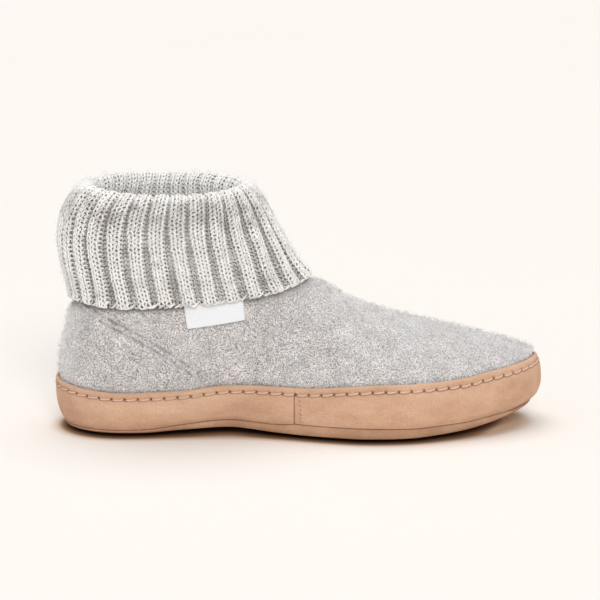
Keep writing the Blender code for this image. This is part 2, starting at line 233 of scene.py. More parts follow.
# Rand strip: thickness by its share of the height, place of the seam, soft unevenness
RAND_ROWS = table(
    "share thickness",
    (0.0, 1.6), (0.2, 2.1), (0.5, 2.2), (0.76, 1.9), (0.9, 1.6), (1.0, 1.1),
)
RAND_REACH = RAND_ROWS[0].thickness + RAND_GAP
RAND_THINNEST = 0.25
RAND_SEAM_X = 133.0
SEAM_TOP = 0.86
RAND_LUMPS = table("size height seed", (14.0, 0.16, 21), (5.0, 0.1, 22))

# Rand mesh: column width, rows of the outer face (finer towards the top) and of the inner face
RAND_COLUMN = 0.55
RAND_FINE = 0.6
RAND_LOW_ROWS = 26
RAND_HIGH_ROWS = 30
RAND_INSIDE_TOP = 0.985
RAND_INSIDE_ROWS = 6

# Top edge of the rand: where it rounds off and where it turns pale
ROUND_START = 0.955
ROUND_DEPTH = 0.75
EDGE_START = 0.95
EDGE_PALE = 0.6

# Stitching along the rand's top edge: thread, its groove and holes with painted shade in them, the painted
# shadow under the thread, and the lip above it
STITCH_SAMPLES = 3000
STITCH_DROP = 3.2
STITCH_PITCH = 7.1
STITCH_RADIUS = 0.5
STITCH_STAND = 0.4
STITCH_SINK = -0.75
STITCH_PLUNGE = 2.6
STITCH_TIP = 0.65
STITCH_SLANT = 0.55
STITCH_BOW = 0.25
STITCH_END = 0.5
STITCH_POINTS = 12
STITCH_SIDES = 6
GROOVE_WIDTH = 1.0
GROOVE_DEPTH = 0.35
HOLE_RADIUS = 0.82
HOLE_DEPTH = 0.9
HOLE_GAIN = 1.4
HOLE_CUT = 0.2
THREAD_LINE = 0.4
THREAD_SHADE = 0.55
LIP_HEIGHT = 0.2
LIP_ABOVE = 0.55 * STITCH_DROP
LIP_WIDTH = 1.2

# Upright seam of the rand: its dip, and the needle dips beside it on the front strip with painted shade in
# them
SEAM_DIP = 0.7
SEAM_DIP_WIDTH = 1.1
NEEDLE_ROW = 1.9
NEEDLE_PITCH = 2.3
NEEDLE_START = 0.5
NEEDLE_RADIUS = 0.5
NEEDLE_DEPTH = 0.4
NEEDLE_SHADE = 0.7

# Places of the outer side's rand where it is pressed in and browner: painted shade in the hollows, a brown
# stain at the heel (x 14)
RAND_HOLLOWS = table(
    "x z length height depth shade",
    (108, 16.0, 9.0, 4.0, 0.8, 0.45),
    (14, 10.5, 8.0, 5.0, 0.2, 0.4),
    (88, 14.0, 12.0, 4.0, 0.2, 0.2),
    (196, 12.0, 16.0, 3.0, 0.1, 0.15),
)

# Knit strip from the felt collar up the inside, over the fold to the hem; its ribs slide to the heel
CUFF_ROWS = table(
    "step level offset slide",
    (0, 3.03, -1.5, 0.0),
    (1, 3.5, -4.5, 0.0),
    (2, 3.84, -4.7, 0.0),
    (3, 3.96, -1.8, 0.0),
    (4, 3.985, 1.6, 0.0),
    (5, 3.9, 4.4, 0.0),
    (6, 3.68, 5.9, 0.6),
    (7, 3.3, 6.2, 2.6),
    (8, 2.9, 5.4, 5.0),
    (9, 2.45, 4.3, 7.4),
    (10, 2, 3.2, 9.2),
)
RIBS = 29
RIB_PHASE = 0.625
SLIDE_SPREAD = 2.0
RING_SAMPLES = 720
SHEET_DRAFT = 200
SHEET_COLUMNS = 464
SHEET_ROWS = 160

# Knit loops: two knit and two purl wales to a rib, half a loop as shares of its wale and course
COURSES = 45
WALES_PER_RIB = 4
WALES = RIBS * WALES_PER_RIB
FIRST_COURSE = 0.6
SPARE_COURSE = 0.7
HALF_LOOP = table(
    "across along depth",
    (0.0, -0.58, -0.5),
    (0.37, -0.42, 0.0),
    (0.24, 0.05, 0.9),
    (0.11, 0.52, 0.6),
    (0.18, 0.88, -0.3),
    (0.50, 1.00, -0.6),
)
LOOP = HALF_LOOP + [point._replace(across=1 - point.across) for point in HALF_LOOP[-2:0:-1]]

# Width share of the knit wales and height of the ribs, along the strip
RIB_ROWS = table(
    "v share relief",
    (0.0, 0.66, 0.8),
    (0.3, 0.72, 0.7),
    (0.42, 0.8, 0.5),
    (0.52, 0.8, 0.8),
    (0.63, 0.72, 1.0),
    (0.75, 0.63, 1.0),
    (0.9, 0.59, 1.0),
    (1.0, 0.6, 0.7),
)

# Yarn: thickness and heights, how loops stray and ribs wander, waves of the courses near the hem
YARN_SEED = 41
YARN_RADIUS = 0.6
YARN_SIDES = 4
PURL_YARN = 0.62
LOOP_DEPTH = 0.7
KNIT_RELIEF = 1.1
PURL_RELIEF = 2.5
STRAY_ALONG = 0.07
STRAY_ACROSS = 0.03
STRAY_DEPTH = 0.06
STRAY_TONE = 0.12
HEM_WAVES = table("height turns phase", (0.35, 3, 1.0), (0.3, 7, 0.0))
RIB_WANDER = 0.05
WANDER_BY_RIB = 1.7
WANDER_ALONG = 6.0
HAIRY_FROM = 0.38

# Tone of the yarn: cloudy, paler inside as painted light, darker under the crest of the fold and in the
# purl wales as painted shade
YARN_TONE = 0.88
YARN_CLOUDS = 0.35
CLOUD_SIZE = 6.0
FOLD_SHARE = 0.44
INSIDE_PAINTED_LIGHT = 0.75
CREST_SHARE = 0.53
CREST_WIDTH = 0.08
CREST_SHADE = 0.55
PURL_SHADE = 0.5

# Thin core behind the loops, coloured as painted shade between them: darkest under the purl wales, paler
# inside the cuff as painted light
CORE_DEPTH = 1.1
CORE_WALL = 0.5
CORE_PAINTED_SHADE = 0.75
CORE_ROW_STEP = 4
CORE_COLUMN_STEP = 2

# Links of the cast-off edge
LINK_SEED = 45
LINK_POINTS = 7
LINK_REACH = 1.2
LINK_RISE = 0.02
LINK_STAND = 0.5
LINK_RADIUS = 0.56
LINK_TIP = 0.5
LINK_STRAY = 0.3
LINK_TONE = 0.7
LINK_CLOUDS = 0.25

# Outsole edge: how far each ring stands inside the rand, its share of the thickness, its drop below the rim
OUTSOLE_EDGE = table(
    "step inset share drop",
    (0, 0.4, 1.0, 0.0),
    (1, 0.0, 0.6, 0.0),
    (2, 0.5, 0.2, 0.0),
    (3, 1.5, 0.0, 0.0),
    (4, 9.0, 0.0, 1.0),
    (5, 16.0, 0.0, SOLE_BELLY),
)
OUTSOLE_RINGS = 21
SOLE_COLUMNS = 360
SOLE_STRIPS = 18

# Insole: rounding of its rim, soft unevenness, and the dips that heel and ball press into it
INSOLE_RINGS = 7
INSOLE_ROUND = 0.5
INSOLE_LUMPS = table("size height seed", (9.0, 0.25, 31))
INSOLE_DIPS = table("x length", (35, 26), (185, 34))
DIP_DEPTH = 0.5
DIP_Y = 4.0
DIP_WIDTH = 22.0

# Label tag, on the outer side under the hem: its front end rises, its lower edge lies further forward
LABEL_BACK_X = 72.9
LABEL_FRONT_X = 104.0
LABEL_LOW_LEVEL = 1.745
LABEL_HIGH_LEVEL = 2.04
LABEL_RISE = 0.075
LABEL_LEAN = 2.0
LABEL_GAP = 0.6
LABEL_CURL = 0.5
LABEL_BOW = 0.15
LABEL_PUFF = 0.5
LABEL_FOLD = 0.06
LABEL_FOLD_WIDTH = 0.09
LABEL_COLUMNS = 40
LABEL_ROWS = 22

# Noise lattice
NOISE_CELLS = 32

# Camera and floor
CAMERA_AT = (0.00024, -1.19085, 0.3072)
CAMERA_DOWN = 11.2775
CAMERA_FIELD = 15.606
FLOOR_HALF = 9.0
FLOOR_DROP = 0.0002
FLOOR_COLOUR = (0.94, 0.895, 0.85)
FLOOR_MOTTLE = 0.006

# Painted shadow on the floor, which darkens and warms it near the shoe: reach in metres, and colours from
# closed in to open
PAINTED_SHADOWS = table(
    "reach stops",
    (0.006, ((0.1, (0.06, 0.03, 0.015)), (0.6, (0.42, 0.31, 0.22)), (0.95, (1.0, 1.0, 1.0)))),
    (0.014, ((0.1, (0.98, 0.78, 0.59)), (0.5, (0.76, 0.60, 0.46)), (0.8, (1.0, 1.0, 1.0)))),
)

# Sky and lamps
SKY_COLOUR = (1.0, 0.99, 0.98)
SKY_STRENGTH = 0.42
LAMPS = table(
    "name strength angle travel",
    ("overhead", 1.3, 45.0, (0.08, -0.24, -1.0)),
    ("front_fill", 1.5, 25.0, (-0.15, 1.0, -0.65)),
)

# Colours of the surfaces, from dark to light
SUEDE = ((0.54, 0.32, 0.20), (0.62, 0.385, 0.255), (0.69, 0.455, 0.31))
SOLE_SUEDE = ((0.38, 0.215, 0.13), (0.46, 0.27, 0.165), (0.55, 0.34, 0.22))
# Painted shade of the rand's hollows, and the colour of the stain at the heel
SUEDE_SHADE = (0.74, 0.68, 0.64)
# Near black painted shade in the stitch holes and painted shadow under the thread
STITCH_SHADE_COLOUR = (0.10, 0.05, 0.03)
FELT = ((0.09, 0.08, 0.078), (0.58, 0.55, 0.54), (0.93, 0.91, 0.90))
FELT_CALM = (0.67, 0.66, 0.66)
FOOTBED = ((0.27, 0.25, 0.24), (0.48, 0.45, 0.43), (0.66, 0.63, 0.61))
FELT_HAIR = ((0.22, 0.20, 0.19), (0.92, 0.90, 0.88))
KNIT_HAIR = ((0.5, 0.48, 0.46), (0.95, 0.94, 0.92))
YARN = ((0.78, 0.76, 0.73), (0.97, 0.965, 0.95))
# Colours of the knit core, which stand for painted shade between the loops
CORE_SHADE_COLOURS = ((0.30, 0.26, 0.23), (0.44, 0.40, 0.36))
THREAD = ((0.62, 0.40, 0.285), (0.78, 0.545, 0.42))
TAPE = ((0.80, 0.82, 0.85), (0.88, 0.905, 0.935))

# Sheen of the felt outside and of the footbed
FELT_SHEEN = 0.9
FOOTBED_SHEEN = 0.2

# Sockets of a colour mix node
MIX_SHARE, MIX_FIRST, MIX_SECOND, MIX_COLOUR = 0, 6, 7, 2


def smooth(rows, column, at):
    """Value of a table's column along its first column, by a cubic that never overshoots its rows."""
    knots = np.array([row[0] for row in rows], float)
    values = np.array([getattr(row, column) for row in rows], float)
    steps = np.diff(knots)
    grades = np.diff(values) / steps
    before, after = grades[:-1], grades[1:]
    turning = before * after <= 0
    total = np.where(turning, 1.0, before + after)
    inner = np.where(turning, 0.0, 2 * before * after / total)
    slopes = np.concatenate([grades[:1], inner, grades[-1:]])
    at = np.clip(at, knots[0], knots[-1])
    i = np.clip(np.searchsorted(knots, at) - 1, 0, len(steps) - 1)
    t = (at - knots[i]) / steps[i]
    low = values[i] * (1 + 2 * t) + slopes[i] * steps[i] * t
    high = values[i + 1] * (3 - 2 * t) + slopes[i + 1] * steps[i] * (t - 1)
    return low * (1 - t) ** 2 + high * t**2


def mix(a, b, share):
    return a + (b - a) * share


def unit(vectors):
    return vectors / np.linalg.norm(vectors, axis=-1, keepdims=True)


def clamp(share):
    return np.clip(share, 0, 1)


def bell(distance, width):
    """Soft bump of height one at distance zero."""
    return np.exp(-((distance / width) ** 2))


def outsole_bottom(x):
    return smooth(SOLE_ROWS, "lift", x)


def outsole_top(x):
    return outsole_bottom(x) + smooth(SOLE_ROWS, "edge", x)


def sole_line(x):
    """Height of the lower edge of the felt and the rand."""
    return outsole_top(x) + CLEARANCE


def rand_top(x):
    return smooth(SOLE_ROWS, "rand_top", x)


def line_shape(x, level):
    """Rise and fall of a ring seen from the side: sole line, rand edge, then straighter and straighter."""
    low = mix(sole_line(x), rand_top(x), level)
    return np.where(level < RAND, low, rand_top(x) * clamp(HEM - level) ** 2)


def toe_share(x, z, toe):
    """How much of the half width is left as the outline closes round the toe."""
    tip = smooth(TOE, "x", z)
    run = clamp((x - toe.start) / (tip - toe.start))
    return (1 - run**toe.power) ** (1 / TOE_ROOT)


def heel_share(x, z):
    run = clamp((x - smooth(HEEL, "x", z)) / HEEL_ROUND)
    return (1 - (1 - run) ** HEEL_POWER) ** (1 / HEEL_POWER)


def half_width(x, z, lateral):
    """Distance of the felt's outer face from the spine, on the lateral or the medial side."""
    low = sole_line(x)
    widest = low + WIDEST_ABOVE_SOLE
    side = np.where(lateral, smooth(SECTIONS, "lateral", x), smooth(SECTIONS, "medial", x))
    ends = np.where(lateral, toe_share(x, z, LATERAL_TOE), toe_share(x, z, MEDIAL_TOE))
    rise = clamp((z - widest) / (smooth(RIDGE, "z", x) - widest))
    crown = np.sqrt(1 - rise ** smooth(SECTIONS, "fullness", x))
    flare = np.clip((z - widest) / (FLARE_TOP - widest), 0, FLARE_LIMIT) ** 2
    drop = np.clip((widest - z) / WIDEST_ABOVE_SOLE, 0, TUCK_LIMIT) ** 2
    wide = side + smooth(SECTIONS, "flare", x) * flare - smooth(SECTIONS, "tuck", x) * drop
    return wide * ends * heel_share(x, z) * crown


def line_value(column, level):
    """Value of a named line's column, shared out evenly between the lines."""
    levels = [line.level for line in LINES]
    return np.interp(level, levels, [getattr(line, column) for line in LINES])


def line_ends(level):
    """Where the ring at this level crosses the heel and the toe or instep: back x, z, front x, z."""
    below = np.clip(level, LOWEST_LEVEL, RAND)
    low_z = mix(sole_line(0.0), LINES[0].back_z, below)
    back_z = np.where(level < RAND, low_z, line_value("back_z", level))
    toe_z = mix(sole_line(TOE[1].x), TOE[-1].z, below)
    front_x = np.where(level < RAND, smooth(TOE, "x", toe_z), line_value("front_x", level))
    front_z = np.where(level < RAND, toe_z, smooth(RIDGE, "z", front_x))
    return smooth(HEEL, "x", back_z), back_z, front_x, front_z


def upper_point(turn, level):
    """Point of the felt's outer face: turn 0 is the toe or instep, half a turn the heel."""
    turn, level = np.broadcast_arrays(np.asarray(turn, float), np.asarray(level, float))
    back_x, back_z, front_x, front_z = line_ends(level)
    along = 0.5 + 0.5 * np.cos(turn)
    x = mix(back_x, front_x, along)
    ends = mix(back_z - line_shape(back_x, level), front_z - line_shape(front_x, level), along)
    sag = line_value("sag", level) * np.sin(turn) ** 2
    lean = line_value("lean", level) * np.sin(turn) * np.abs(np.sin(turn))
    z = line_shape(x, level) + ends - sag - lean
    lateral = np.sin(turn) >= 0
    width = half_width(x, z, lateral)
    y = smooth(SECTIONS, "spine", x) + np.where(lateral, -width, width)
    return np.stack([x, y, z], axis=-1)


def upper_normal(turn, level):
    """Outward unit normal of the felt's outer face, from its two tangents."""
    around = upper_point(turn + TURN_STEP, level) - upper_point(turn - TURN_STEP, level)
    upward = upper_point(turn, level + LEVEL_STEP) - upper_point(turn, level - LEVEL_STEP)
    return unit(np.cross(upward, around))


def offset_point(turn, level, distance):
    """Point of a form larger (or, if negative, smaller) than the upper by this distance."""
    distance = np.asarray(distance, float)
    return upper_point(turn, level) + upper_normal(turn, level) * distance[..., None]


def outline_normal(turn):
    return unit(upper_normal(turn, OUTLINE_LEVEL) * (1.0, 1.0, 0.0))


def outline_point(turn, distance):
    """Point of the sole line moved outwards in plan."""
    return upper_point(turn, SOLE) + outline_normal(turn) * distance


def turn_at(x, level):
    """Turn on the lateral side where the ring at this level passes x."""
    back_x, _, front_x, _ = line_ends(np.asarray(level, float))
    return np.arccos(np.clip(2 * (x - back_x) / (front_x - back_x) - 1, -1, 1))


def turns(columns):
    return np.arange(columns) * 2 * np.pi / columns


def reach_of(rows):
    """Distance run along a line of points, or along rows of points on the average."""
    steps = np.linalg.norm(np.diff(rows, axis=0), axis=-1)
    return np.concatenate([[0], np.cumsum(steps.reshape(len(steps), -1).mean(axis=1))])


def noise(points, size, seed):
    """Smooth random field between minus one and one, with lumps of about this size."""
    lattice = np.random.default_rng(seed).uniform(-1, 1, (NOISE_CELLS,) * 3)
    low = np.floor(points / size).astype(int)
    share = points / size - low
    share = share * share * (3 - 2 * share)
    total = np.zeros(points.shape[:-1])
    for corner in np.ndindex(2, 2, 2):
        cell = (low + corner) % NOISE_CELLS
        weight = np.prod(np.where(corner, share, 1 - share), axis=-1)
        total += weight * lattice[cell[..., 0], cell[..., 1], cell[..., 2]]
    return total


def lumps(points, rows):
    """Height of soft unevenness that is made of several sizes."""
    return sum(row.height * noise(points, row.size, row.seed) for row in rows)


def grid_quads(rows, columns, rows_close, columns_close):
    """Quads of a grid of points, facing where row direction cross column direction points."""
    here = np.arange(rows * columns).reshape(rows, columns)
    above, beside = np.roll(here, -1, axis=0), np.roll(here, -1, axis=1)
    corners = np.stack([here, above, np.roll(above, -1, axis=1), beside], axis=-1)
    return corners[: rows if rows_close else -1, : columns if columns_close else -1].reshape(-1, 4)


def capped_faces(rows, columns):
    """Faces of a flat tube whose rows run round it, with a cap at each end of its columns."""
    starts = np.arange(rows) * columns
    return [grid_quads(rows, columns, True, False), np.stack([starts[::-1], starts + columns - 1])]


def put(name, data):
    """New object in the scene."""
    made = bpy.data.objects.new(name, data)
    bpy.context.collection.objects.link(made)
    return made


def add_piece(name, points, faces, surface, slot, node=None, weld=False, **values):
    """Mesh piece on the shoe; faces come in blocks of equal corner count, values are for each point."""
    mesh = bpy.data.meshes.new(name)
    corners = [face for block in faces for face in block.tolist()]
    mesh.from_pydata((points.reshape(-1, 3) - MIDDLE) * METRES, [], corners)
    for key, value in values.items():
        mesh.attributes.new(key, "FLOAT", "POINT").data.foreach_set("value", np.ravel(value))
    if weld:
        weld_mesh(mesh)
    mesh.shade_smooth()
    mesh.materials.append(surface)
    piece = put(name, mesh)
    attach(piece, "root")
    if node:
        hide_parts(node)


def weld_mesh(mesh):
    shape = bmesh.new()
    shape.from_mesh(mesh)
    bmesh.ops.remove_doubles(shape, verts=shape.verts, dist=WELD_DISTANCE)
    bmesh.ops.recalc_face_normals(shape, faces=shape.faces)
    shape.to_mesh(mesh)
    shape.free()


def tubes(paths, guides, radii, sides, closed):
    """Points and faces of round tubes along paths; a guide is a direction its path never runs in."""
    count, length = paths.shape[:2]
    if closed:
        ahead = unit(np.roll(paths, -1, axis=1) - np.roll(paths, 1, axis=1))
    else:
        ahead = unit(np.gradient(paths, axis=1))
    side = unit(np.cross(ahead, guides))
    up = np.cross(side, ahead)
    angle = turns(sides)
    ring = side[:, :, None] * np.cos(angle)[:, None] + up[:, :, None] * np.sin(angle)[:, None]
    points = paths[:, :, None] + ring * np.broadcast_to(radii, (count, length))[:, :, None, None]
    first = np.arange(count)[:, None, None] * length * sides
    faces = [(grid_quads(length, sides, closed, True)[None] + first).reshape(-1, 4)]
    if not closed:
        start = np.arange(sides)
        stop = start[::-1] + (length - 1) * sides
        faces.append((np.stack([start, stop])[None] + first).reshape(-1, sides))
    return points, faces


def scatter(grid, normals, count, rng):
    """Random places spread evenly over a grid, with the outward direction and one tangent at each."""
    upward, around = grid[1:, :-1] - grid[:-1, :-1], grid[:-1, 1:] - grid[:-1, :-1]
    area = np.linalg.norm(np.cross(upward, around), axis=-1).ravel()
    cell = rng.choice(area.size, count, p=area / area.sum())
    row, column = np.divmod(cell, grid.shape[1] - 1)
    share_up, share_around = rng.random((2, count, 1))
    points = grid[row, column] + upward[row, column] * share_up + around[row, column] * share_around
    return points, normals[row, column], unit(around[row, column])


def add_fibres(name, grid, normals, kind, surface, slot):
    """Loose wool fibres, each rooted in the surface and rising off it with a bend."""
    rng = np.random.default_rng(kind.seed)
    each = (kind.count, 1)
    points, normal, tangent = scatter(grid, normals, kind.count, rng)
    across = np.cross(normal, tangent)
    length = rng.uniform(kind.shortest, kind.longest, each)

    def half_way(aim):
        return (tangent * np.cos(aim) + across * np.sin(aim)) * length / 2

    rise = kind.rise * rng.uniform(*FIBRE_RISE, each)
    aim = rng.uniform(0, 2 * np.pi, each)
    turned = aim + rng.normal(0, FIBRE_BEND, each)
    middle = points + half_way(aim) + normal * rise
    lift = rng.uniform(*FIBRE_LIFT, each)
    tip = middle + half_way(turned) + normal * rise * lift
    paths = np.stack([points - normal * FIBRE_ROOT, middle, tip], axis=1)
    radii = kind.radius * rng.uniform(*FIBRE_WIDTH, each) * FIBRE_TAPER
    made, faces = tubes(paths, normal[:, None], radii, FIBRE_SIDES, closed=False)
    tone = np.repeat(rng.random(kind.count), len(FIBRE_TAPER) * FIBRE_SIDES)
    add_piece(name, made, faces, surface, slot, tone=tone)


def new_surface(name, roughness):
    """Material with its node tree and its shader."""
    made = bpy.data.materials.new(name)
    made.use_nodes = True
    shader = made.node_tree.nodes["Principled BSDF"]
    shader.inputs["Roughness"].default_value = roughness
    return made, made.node_tree, shader


def feed(tree, sockets, inputs):
    """Give each socket its plain value, or the output of another node."""
    for key, value in inputs.items():
        if isinstance(value, bpy.types.NodeSocket):
            tree.links.new(value, sockets[key])
        else:
            sockets[key].default_value = value


def node(tree, kind, inputs=None, **settings):
    made = tree.nodes.new(kind)
    for key, value in settings.items():
        setattr(made, key, value)
    feed(tree, made.inputs, inputs or {})
    return made


def place(tree):
    return node(tree, "ShaderNodeTexCoord").outputs["Object"]


def grain(tree, scale, detail, rough, vector=None):
    """Noise with this many lumps to the metre."""
    inputs = {"Vector": vector or place(tree), "Scale": scale, "Detail": detail, "Roughness": rough}
    return node(tree, "ShaderNodeTexNoise", inputs).outputs["Fac"]


def ramp(tree, value, stops):
    """Colours blended along a value: stops are position and colour."""
    made = node(tree, "ShaderNodeValToRGB", {"Fac": value})
    bar = made.color_ramp
    while len(bar.elements) < len(stops):
        bar.elements.new(0.5)
    for element, (position, colour) in zip(bar.elements, stops):
        element.position = position
        element.color = (*colour, 1.0)
    return made.outputs["Color"]


def blend_colour(tree, first, second, share, how="MIX"):
    inputs = {MIX_SHARE: share, MIX_FIRST: first, MIX_SECOND: second}
    made = node(tree, "ShaderNodeMix", inputs, data_type="RGBA", blend_type=how)
    return made.outputs[MIX_COLOUR]


def times(tree, first, second, share=1.0):
    return blend_colour(tree, first, second, share, "MULTIPLY")


def mix_colour(a, b, share):
    return tuple(mix(x, y, share) for x, y in zip(a, b))


def point_value(tree, name):
    return node(tree, "ShaderNodeAttribute", attribute_name=name).outputs["Fac"]


def bump(tree, height, strength, distance, after=None):
    inputs = {"Height": height, "Strength": strength, "Distance": distance}
    if after:
        inputs["Normal"] = after
    return node(tree, "ShaderNodeBump", inputs).outputs["Normal"]


def felt_surface(name, dark, middle, light, calm, sheen):
    """Boiled wool: fine light and dark flecks over faint cool and warm clouds, with painted shade in its
    seams and crease and under the hem.
    """
    made, tree, shader = new_surface(name, roughness=0.95)
    fleck_stops = ((0.395, dark), (0.5, middle), (0.605, light))
    flecks = ramp(tree, grain(tree, scale=1350, detail=4, rough=0.85), fleck_stops)
    flecks = blend_colour(tree, flecks, (*calm, 1.0), point_value(tree, "calm"))
    cloud_stops = ((0.36, (0.87, 0.86, 0.855)), (0.64, (1.06, 1.065, 1.07)))
    tint_stops = ((0.36, (0.93, 0.95, 0.97)), (0.64, (1.06, 1.03, 1.01)))
    clouds = ramp(tree, grain(tree, scale=85, detail=3, rough=0.6), cloud_stops)
    tints = ramp(tree, grain(tree, scale=210, detail=3, rough=0.6), tint_stops)
    wool = times(tree, flecks, times(tree, clouds, tints))
    fine = bump(tree, grain(tree, scale=1500, detail=4, rough=0.7), strength=0.55, distance=0.0004)
    coarse = grain(tree, scale=320, detail=3, rough=0.6)
    # The shade value blends in the dark fleck colour as painted shade
    feed(tree, shader.inputs, {
        "Base Color": blend_colour(tree, wool, (*dark, 1.0), point_value(tree, "shade")),
        "Normal": bump(tree, coarse, strength=0.5, distance=0.0008, after=fine),
        "Sheen Weight": sheen,
        "Sheen Roughness": 0.6,
    })
    return made


def fibre_surface(name, dark, light):
    """Single wool fibres, from dark to pale by the tone that each carries."""
    made, tree, shader = new_surface(name, roughness=0.8)
    stops = ((0.0, dark), (0.3, mix_colour(dark, light, 0.6)), (1.0, light))
    feed(tree, shader.inputs, {"Base Color": ramp(tree, point_value(tree, "tone"), stops)})
    return made


def knit_surface(name, dark, light):
    """Wool yarn: flecked along its length, with a hairy twist."""
    made, tree, shader = new_surface(name, roughness=0.9)
    flecks = ramp(tree, grain(tree, scale=700, detail=3, rough=0.7), ((0.3, dark), (0.68, light)))
    stops = ((0.0, (0.58, 0.55, 0.52)), (0.6, (0.97, 0.97, 0.97)), (1.0, (1.1, 1.1, 1.1)))
    feed(tree, shader.inputs, {
        "Base Color": times(tree, flecks, ramp(tree, point_value(tree, "tone"), stops)),
        "Normal": bump(tree, grain(tree, scale=1800, detail=3, rough=0.7), strength=0.6, distance=0.0004),
        "Sheen Weight": 0.25,
        "Sheen Roughness": 0.5,
    })
    return made


def suede_surface(name, dark, middle, light):
    """Napped suede: clouds of lying nap, fine grain, pale cut edges; painted shade in the hollows with a
    brown stain at the heel, near black painted shade in holes and under the thread.
    """
    made, tree, shader = new_surface(name, roughness=0.92)
    stretch = {"Vector": place(tree), "Scale": (0.5, 1.0, 1.0)}
    lain = node(tree, "ShaderNodeMapping", stretch).outputs["Vector"]
    cloud_stops = ((0.3, dark), (0.5, middle), (0.72, light))
    clouds = ramp(tree, grain(tree, scale=90, detail=5, rough=0.55, vector=lain), cloud_stops)
    speck_stops = ((0.32, (0.87, 0.855, 0.84)), (0.68, (1.1, 1.1, 1.1)))
    napped = times(tree, clouds, ramp(tree, grain(tree, scale=1150, detail=3, rough=0.75), speck_stops))
    edged = blend_colour(tree, napped, (*light, 1.0), point_value(tree, "edge"))
    # Painted shade of the hollows, and the stain at the heel
    shaded = times(tree, edged, (*SUEDE_SHADE, 1.0), point_value(tree, "shade"))
    fine = bump(tree, grain(tree, scale=1800, detail=3, rough=0.7), strength=0.5, distance=0.0003)
    coarse = grain(tree, scale=300, detail=4, rough=0.6)
    # Near black painted shade in holes and under the thread
    feed(tree, shader.inputs, {
        "Base Color": blend_colour(tree, shaded, (*STITCH_SHADE_COLOUR, 1.0), point_value(tree, "stitch_shade")),
        "Normal": bump(tree, coarse, strength=0.35, distance=0.0006, after=fine),
        "Sheen Weight": 0.2,
        "Sheen Roughness": 0.5,
        "Sheen Tint": (*light, 1.0),
    })
    return made


def thread_surface(name, dark, light):
    """Waxed sewing thread with a fine twist."""
    made, tree, shader = new_surface(name, roughness=0.6)
    feed(tree, shader.inputs, {
        "Base Color": ramp(tree, grain(tree, scale=900, detail=2, rough=0.6), ((0.3, dark), (0.7, light))),
        "Normal": bump(tree, grain(tree, scale=2500, detail=2, rough=0.5), strength=0.5, distance=0.0003),
    })
    return made


def tape_surface(name, dark, light):
    """Fine woven tape: threads both ways as low relief."""
    made, tree, shader = new_surface(name, roughness=0.65)
    threads = {"Vector": place(tree), "Scale": 420.0}
    waves = [node(tree, "ShaderNodeTexWave", threads, bands_direction=way) for way in ("X", "Z")]
    crossed = {i: wave.outputs["Fac"] for i, wave in enumerate(waves)}
    weave = node(tree, "ShaderNodeMath", crossed, operation="MULTIPLY").outputs[0]
    feed(tree, shader.inputs, {
        "Base Color": ramp(tree, weave, ((0.0, dark), (0.6, light))),
        "Normal": bump(tree, weave, strength=0.5, distance=0.0002),
        "Sheen Weight": 0.15,
    })
    return made


def floor_surface(name):
    """Pale matte floor, faintly mottled, with a painted shadow that darkens and warms it near the shoe."""
    made, tree, shader = new_surface(name, roughness=0.9)
    stops = ((0.3, mix_colour(FLOOR_COLOUR, (0, 0, 0), FLOOR_MOTTLE)), (0.7, FLOOR_COLOUR))
    tint = ramp(tree, grain(tree, scale=3.0, detail=2, rough=0.5), stops)
    # Painted shadow: darker and warmer where the floor is closed in by the shoe
    for shadow in PAINTED_SHADOWS:
        near = node(tree, "ShaderNodeAmbientOcclusion", {"Distance": shadow.reach}).outputs["AO"]
        tint = times(tree, tint, ramp(tree, near, shadow.stops))
    feed(tree, shader.inputs, {"Base Color": tint})
    return made


def fold_height(points, lateral):
    """Height of the listed folds."""
    x, z = points[..., 0], points[..., 2]
    height = np.zeros(x.shape)
    for fold in FELT_FOLDS:
        tilt = np.radians(fold.tilt)
        along = (x - fold.x) * np.cos(tilt) + (z - fold.z) * np.sin(tilt)
        over = (z - fold.z) * np.cos(tilt) - (x - fold.x) * np.sin(tilt)
        spot = fold.height * bell(along, fold.length) * bell(over, fold.width)
        height += spot * (lateral == fold.lateral)
    return height


def heel_seam(points):
    """Height of the heel seam's ridge and groove, and the share of each point that is groove."""
    x, z = points[..., 0], points[..., 2]
    drop = smooth(HEEL_SEAM, "z", x + 0.5) - smooth(HEEL_SEAM, "z", x - 0.5)
    off = (z - smooth(HEEL_SEAM, "z", x)) / np.sqrt(1 + drop**2)
    within = clamp((HEEL_SEAM[-1].x - x) / SEAM_FADE)
    groove = np.maximum(bell(off - SEAM_LIP, SEAM_LINE), bell(off + SEAM_LIP, SEAM_LINE)) * within
    return SEAM_HEIGHT * bell(off, SEAM_WIDTH) * within - SEAM_GROOVE * groove, groove


def toe_puff(turn, level, above):
    """Height of the felt that bulges over the rand at the tip of the toe."""
    aside = np.angle(np.exp(1j * turn))
    start = clamp((level - RAND) / PUFF_START)
    return TOE_PUFF * bell(aside, PUFF_TURN) * bell(above - PUFF_ABOVE, PUFF_HEIGHT) * start


def felt_shade(plain, groove, crease):
    """Painted shade of the outer face: in patches along seam and crease, and painted shadow under the hem.
    """
    # Noise that breaks the painted shade of seam grooves and crease into patches
    shade_patches = clamp(SHADE_PATCH_SHARE + SHADE_PATCH_SPREAD * noise(plain, SHADE_PATCH_SIZE, seed=8))
    # Painted shadow under the hem, fading downwards, none at the instep
    hem_z = upper_point(turns(FELT_COLUMNS), HEM)[:, 2]
    under = bell(np.maximum(hem_z - plain[..., 2] - HEM_START, 0), HEM_FADE)
    under *= clamp((HEM_FRONT_X - plain[..., 0]) / HEM_SPAN)
    return np.maximum(shade_patches * np.maximum(SEAM_SHADE * groove, CREASE_SHADE * crease), HEM_SHADE * under)


